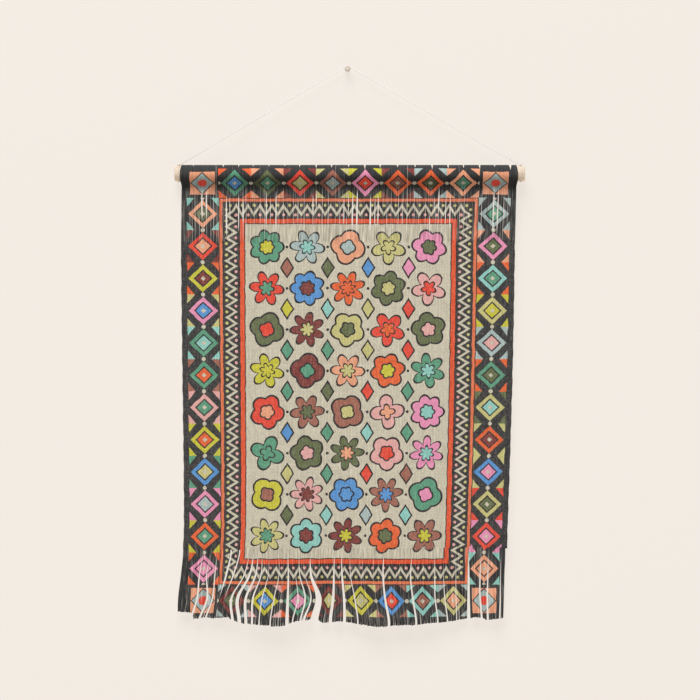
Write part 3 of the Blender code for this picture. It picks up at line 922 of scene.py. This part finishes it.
def turned(profile, sides):
    """Points and faces of a profile of (place along the axis, radius), turned about that axis.

    The points come as (along, radius * cos, radius * sin). The shape's two ends are single points.
    """
    points, faces = [(profile[0][0], 0.0, 0.0)], []
    body = profile[1:-1]
    for place, radius in body:
        for k in range(sides):
            turn = math.tau * k / sides
            points.append((place, radius * math.cos(turn), radius * math.sin(turn)))
    for row in range(len(body) - 1):
        faces += ring_quads(1 + row * sides, sides, flip=True)
    last = len(points)
    points.append((profile[-1][0], 0.0, 0.0))
    for k in range(sides):
        after = (k + 1) % sides
        faces.append((0, 1 + k, 1 + after))
        faces.append((last, last - sides + after, last - sides + k))
    return points, faces


def add_wood(name, node, points, faces, material):
    piece = add_mesh(name, points, faces, material)
    piece.data.set_sharp_from_angle(angle=SHARP_FROM)
    stand_for(piece, node)


def make_dowel(material):
    """A turned rod whose ends are softly rounded over."""
    left, right = DOWEL_LOW[0], DOWEL_HIGH[0]
    start = []
    for angle in map(math.radians, ROUNDING_ANGLES):
        place = left + DOWEL_ROUNDING * (1 - math.sin(angle))
        start.append((place, DOWEL_RADIUS - DOWEL_ROUNDING * (1 - math.cos(angle))))
    middle = [(x, DOWEL_RADIUS) for x in np.linspace(left, right, DOWEL_STEPS)[1:-1]]
    end = [(left + right - place, radius) for place, radius in start[::-1]]
    profile = [(left, 0.0), *start, *middle, *end, (right, 0.0)]
    points, faces = turned(profile, DOWEL_SIDES)
    placed = [(x, AXIS_DEPTH + a, AXIS_HEIGHT + b) for x, a, b in points]
    add_wood("turned_dowel", "dowel", placed, faces, material)


def make_peg(material):
    points, faces = turned(PEG_PROFILE, PEG_SIDES)
    placed = [(a, -away, b) for away, a, b in points]
    add_wood("turned_peg", "peg", placed, faces, material)


def flat_across(share):
    """The place across the flat cloth of a share of its width."""
    return (share * 2 - 1) * PRINT_HALF_WIDE


def parted(low, high, height):
    """How far the partings push a heading thread sideways at a height, from its two ends (x, z)."""
    push = 0.0
    for parting in PARTINGS:
        share = (parting.top - height) / (parting.top - parting.bottom)
        if not 0 < share < 1:
            continue
        middle = (parting.top + parting.bottom) / 2
        away = mix(low[0], high[0], (middle - low[1]) / (high[1] - low[1])) - parting.across
        opened = parting.width / 2 * math.sin(math.pi * share) ** 0.7
        push += math.copysign(opened * math.exp(-((away / PARTING_REACH) ** 2)), away)
    return push


def drawn_back(notches, share, rise):
    """How far the notches at a bundle's two sides move a thread at a height over the axis.

    share is the thread's place across the bundle, and rise a share of the wrap's radius.
    """
    left, right = (
        notch.inset * max(rise - notch.start, 0.0) / (1 - notch.start) for notch in notches
    )
    return left * (1 - share) - right * share


def heading_thread(left, width, notches, pinches, share, rng):
    """The rings of one warp thread: up from the weave, round the rod and down to the pinch."""
    across = left + share * width
    pitch = width / round(width / THREAD_PITCH)
    whole_share = (across - HEADING_LEFT) / sum(LOOP_WIDTHS)
    flat = flat_across(whole_share)
    lean = rng.uniform(-LEAN, LEAN)
    low_across = mix(EDGES[0].left, EDGES[0].right, whole_share)
    low = (low_across, mix(TOP_LEFT, TOP_RIGHT, whole_share) - TUCK)
    high = (across + pinches[0] * (1 - share) - pinches[1] * share, ROOT_HEIGHT)
    rings = []
    for k in range(HANG_STEPS + 1):
        part = k / HANG_STEPS
        height = mix(low[1], high[1], part)
        straight = mix(low[0], high[0], part)
        bow = lean * math.sin(math.pi * part)
        x = straight + parted(low, high, height) + bow
        point = (x, AXIS_DEPTH + bow, height)
        place = (flat + PRINT_FOLLOWS * (x - straight), height - PRINT_MIDDLE)
        # painted shade on the warp just under the rod, fading out downwards
        dim = ease((height - ROOT_HEIGHT) / DIM_REACH + 1)
        rings.append(Ring(point, HANG_FILL * pitch, THREAD_THICK, place, 0.0, dim))
    last = rings[-1].point
    back = (last[0], AXIS_DEPTH + BACK_INSET, ROOT_HEIGHT)
    lift = ROOT_HEIGHT
    for k in range(WRAP_STEPS + 1):
        turn = mix(WRAP_START, math.tau - WRAP_START, k / WRAP_STEPS)
        rise = -math.cos(turn)
        x = across + drawn_back(notches, share, rise)
        point = (x, AXIS_DEPTH - WRAP_RADIUS * math.sin(turn), AXIS_HEIGHT + WRAP_RADIUS * rise)
        lift += math.dist(point[1:], last[1:])
        last = point
        place = (flat, lift - PRINT_MIDDLE)
        bare = ease((turn - math.pi) / BARE_WITHIN)
        # painted shade on the warp low round the rod, turning to painted light on its top
        dim = 1 - (1 + TOP_PAINTED_LIGHT) * ease((turn - WRAP_START) / (DIM_UNTIL - WRAP_START))
        rings.append(Ring(point, WRAP_FILL * pitch, THREAD_THICK, place, bare, dim))
    rings.append(Ring(back, WRAP_FILL * pitch, THREAD_THICK, place, 1.0, 0.0))
    return rings


def make_heading(material):
    """The bundles of warp over the rod, one piece for each."""
    rng = random.Random(SEED)
    made = []
    left = HEADING_LEFT
    for k, width in enumerate(LOOP_WIDTHS):
        pinches = [EDGE_PINCH_INSET * (k == edge) for edge in (0, len(LOOP_WIDTHS) - 1)]
        threads = Threads()
        count = round(width / THREAD_PITCH)
        for n in range(count):
            share = (n + 0.5) / count
            rings = heading_thread(left, width, NOTCHES[k:k + 2], pinches, share, rng)
            threads.add(rings, rng.gauss(0.0, TWIST_SPREAD))
        made.append(threads.make(f"warp_bundle_{k + 1:02d}", f"loop_{k + 1:02d}", material))
        left += width
    return made


def selvedge(side, down):
    """How far a side edge of the weave wanders from its table."""
    waves = (math.sin(down * wave + k * side) for k, wave in enumerate(SELVEDGE_WAVES, 1))
    return SELVEDGE_WANDER * sum(waves) / 2


def make_panel(material):
    """The woven cloth: a closed sheet on its folds, with a crossing of threads at every point."""
    columns, rows = PANEL_COLUMNS + 1, PANEL_ROWS + 1
    points, places, shades = [], [], []
    for side in (-1, 1):
        for row in range(rows):
            down = row / PANEL_ROWS
            left = along(EDGES, "left", down) + selvedge(1, down)
            right = along(EDGES, "right", down) + selvedge(4, down)
            for column in range(columns):
                share = column / PANEL_COLUMNS
                odd, odd_warp = (row + column) % 2, column % 2
                x = mix(left, right, share)
                top = mix(TOP_LEFT, TOP_RIGHT, share)
                bottom = mix(BOTTOM_LEFT, BOTTOM_RIGHT, share)
                z = mix(top, bottom, down)
                over = WEAVE_RELIEF if odd else -WEAVE_RELIEF
                thick = mix(EDGE_THICK, CLOTH_THICK, ease(min(top - z, z - bottom) / EDGE_RAMP))
                y = cloth_depth(x, z) + crease_depth(x, z) + side * thick / 2 + over
                points.append((x, y, z))
                places.append((flat_across(share), z - PRINT_MIDDLE, 0.0 if side < 0 else 1.0))
                shades.append(CROSSING_SHADE * (odd - 0.5) + WARP_SHADE * (odd_warp - 0.5))
    faces = grid_faces(columns, rows, flip=True) + grid_faces(columns, rows, start=columns * rows)
    faces += rim_faces(columns, rows)
    panel = add_mesh("woven_cloth", points, faces, material, places, shades)
    stand_for(panel, "panel")
    return panel


def fringe_top(root):
    """The height below the weave's edge from which the gaps' table counts."""
    share = (root - GAPS[0].root) / (GAPS[-1].root - GAPS[0].root)
    return mix(BOTTOM_LEFT, BOTTOM_RIGHT, share) - STRIP_TALL


def fringe_place(root, height):
    """Where a thread with this root is at a height, how much its lock has widened, and the lock."""
    down = (fringe_top(root) - height) / FRINGE_REACH
    k = next((n for n in range(1, len(GAPS)) if root <= GAPS[n].root), len(GAPS) - 1)
    left, right = GAPS[k - 1], GAPS[k]
    left_opened = left.open * smoothed(left.shares, down)
    right_opened = right.open * smoothed(right.shares, down)
    lock_left = smoothed(left[:4], down) + left_opened / 2
    lock_right = smoothed(right[:4], down) - right_opened / 2
    share = (root - left.root) / (right.root - left.root)
    squeeze = (lock_right - lock_left) / (right.root - left.root)
    return mix(lock_left, lock_right, share), squeeze, k


def fringe_thread(root, share, pitch, rng):
    """The rings of one loose thread, from its tip up to the weave. share is its place across."""
    start = fringe_top(root)
    reach, _, _ = fringe_place(root, start - FRINGE_REACH)
    tip = along(TIPS, "height", reach) + rng.uniform(-TIP_JAG, TIP_JAG)
    stray, swing, phase = rng.gauss(0, STRAY), rng.gauss(0, SWING), rng.uniform(0, SWING_PHASES)
    flat = flat_across(share)
    top = start + STRIP_TALL + TUCK
    rings = []
    for k in range(FRINGE_STEPS + 1):
        height = mix(tip, top, k / FRINGE_STEPS)
        down = min(max((start - height) / (start - tip), 0.0), 1.0)
        x, squeeze, lock = fringe_place(root, height)
        x += stray * down**0.8 + swing * down * math.sin(height / SWING_REACH + phase)
        curl = LOCK_CURL * down**2 * (1 if lock % 2 else -1)
        point = (x, cloth_depth(x, height) + curl + 0.5 * swing * down, height)
        fray = TIP_FRAY if k == 0 else 1.0
        wide = pitch * mix(1.0, min(squeeze, MOST_SPREAD), down) * FRINGE_FILL * fray
        thick = mix(THREAD_THICK, TIP_THICK, down) * fray
        place = (flat + PRINT_FOLLOWS * (x - root), height - PRINT_MIDDLE)
        rings.append(Ring(point, wide, thick, place, 0.0, 0.0))
    return rings


def make_fringe(material):
    """The loose warp below the weave, every thread in its lock."""
    rng = random.Random(SEED + 1)
    threads = Threads()
    first, last = GAPS[0].root, GAPS[-1].root
    pitch = (last - first) / FRINGE_THREADS
    for n in range(FRINGE_THREADS):
        root = first + (n + 0.5) * pitch
        rings = fringe_thread(root, (root - first) / (last - first), pitch, rng)
        threads.add(rings, rng.gauss(0.0, TWIST_SPREAD))
    return threads.make("loose_fringe", "fringe", material)


def add_stage():
    """A pale wall behind, a pale floor below, soft lights in front and behind, and even light."""
    paint = wall_material()
    end = STAGE_REACH
    sides = ((-end, FLOOR_HEIGHT), (end, FLOOR_HEIGHT), (end, end), (-end, end))
    wall = [(x, WALL_BEHIND, z) for x, z in sides]
    sides = ((-end, FLOOR_FRONT), (end, FLOOR_FRONT), (end, end), (-end, end))
    floor = [(x, y, FLOOR_HEIGHT) for x, y in sides]
    for name, corners in (("wall", wall), ("floor", floor)):
        obj = add_mesh(name, corners, [(0, 1, 2, 3)], paint)
        if name == "wall":
            obj.visible_diffuse = False
            obj.visible_shadow = False
    for name, power, size, place in LAMPS:
        light = bpy.data.lights.new(name, "AREA")
        light.size = size
        light.energy = power
        lamp = add_object(name, light)
        lamp.location = place
        aim = Vector(LAMPS_AIM) - lamp.location
        lamp.rotation_euler = aim.to_track_quat("-Z", "Y").to_euler()
    world = bpy.data.worlds.new("even_light")
    world.use_nodes = True
    sky = world.node_tree.nodes["Background"]
    sky.inputs["Color"].default_value = (1.0, 1.0, 1.0, 1.0)
    sky.inputs["Strength"].default_value = SKY_STRENGTH
    bpy.context.scene.world = world


def add_camera():
    lens = bpy.data.cameras.new("camera")
    lens.sensor_width = SENSOR
    lens.lens = SENSOR * (CAMERA_AWAY + AXIS_DEPTH) / VIEW_WIDTH
    lens.clip_end = VIEW_END
    camera = add_object("camera", lens)
    camera.location = Vector((VIEW_MIDDLE[0], -CAMERA_AWAY, VIEW_MIDDLE[1])) * METRES
    camera.rotation_euler = (math.pi / 2, 0.0, 0.0)
    bpy.context.scene.camera = camera
    bpy.context.scene.view_settings.view_transform = "Standard"


def main():
    add_camera()
    cord, path = make_cord(cord_material("twisted_cotton", *CORD_COTTON))
    tied = cord_material("tied_cotton", *TIE_COTTON)
    ties = [
        make_tie("left_tie", "tie_left", TIE_LEFT, 1, tied),
        make_tie("right_tie", "tie_right", TIE_RIGHT, -1, tied),
    ]
    make_dowel(wood_material("dowel_wood", 0, *DOWEL_WOOD))
    make_peg(wood_material("peg_wood", 1, *PEG_WOOD))
    warp = printed_material("printed_threads", LOOSE_COTTON)
    heading = make_heading(warp)
    fringe = make_fringe(warp)
    panel = make_panel(printed_material("printed_weave", WOVEN_COTTON, woven=True))
    add_stage()


main()
